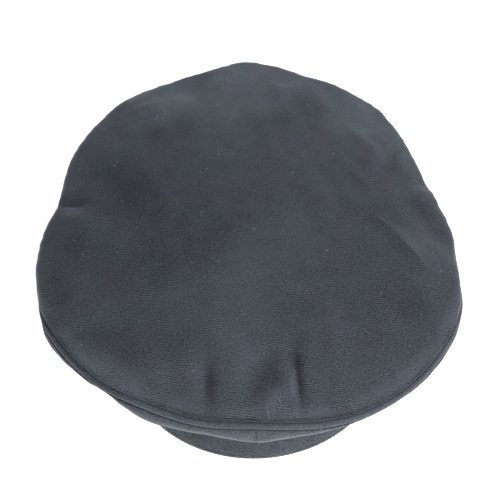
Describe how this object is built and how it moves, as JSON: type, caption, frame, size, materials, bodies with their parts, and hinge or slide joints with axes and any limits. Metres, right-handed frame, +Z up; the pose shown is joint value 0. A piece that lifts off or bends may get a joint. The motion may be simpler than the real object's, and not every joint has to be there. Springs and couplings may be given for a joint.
{
  "type": "airline officer cap",
  "caption": "Soft peaked uniform cap: rounded cloth crown with a corded welt over an oval band, and a short cloth-covered peak; hollow for the head.",
  "frame": {"origin": "middle of the bottom of the resting cap's box, on the surface it rests on", "axes": "+Z up, -Y toward the front of the cap and its peak, +X toward the wearer's left"},
  "size_m": [0.2592, 0.2718, 0.1239],
  "materials": {
    "crown_serge": "matt slate-blue wool serge, fine twill",
    "welt_serge": "the same serge over a cord",
    "quarter_serge": "matt slate-blue wool serge, fine twill",
    "band_cloth": "matt slate-blue cloth, plain",
    "peak_cloth": "matt slate-blue cloth over a stiff board"
  },
  "bodies": {
    "root": {"crown_top": "crown_serge", "crown_welt": "welt_serge", "quarter_front_left": "quarter_serge", "quarter_front_right": "quarter_serge", "quarter_rear_left": "quarter_serge", "quarter_rear_right": "quarter_serge", "band": "band_cloth", "peak": "peak_cloth"}
  },
  "joints": []
}
